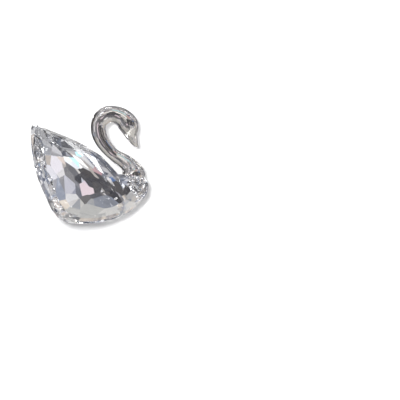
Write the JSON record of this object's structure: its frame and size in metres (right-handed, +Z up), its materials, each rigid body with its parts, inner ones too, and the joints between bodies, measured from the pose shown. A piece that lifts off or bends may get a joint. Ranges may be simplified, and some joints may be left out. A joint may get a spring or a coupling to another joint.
{
  "type": "glass swan figurine",
  "caption": "Clear cut-glass swan figurine: a faceted body with upswept wings parted by a groove, and a smooth curved neck and head cemented into its breast.",
  "frame": {"origin": "middle of the flat that the swan stands on, about halfway along its length", "axes": "+X the way the swan looks, +Y to its left side, +Z up; the XZ plane is its plane of symmetry"},
  "size_m": [0.059, 0.0312, 0.0587],
  "materials": {
    "cut_crystal": "clear, ground in flat facets and polished",
    "smooth_glass": "clear, fire-polished"
  },
  "bodies": {
    "root": {"faceted_body": "cut_crystal", "neck_and_head": "smooth_glass"}
  },
  "joints": []
}
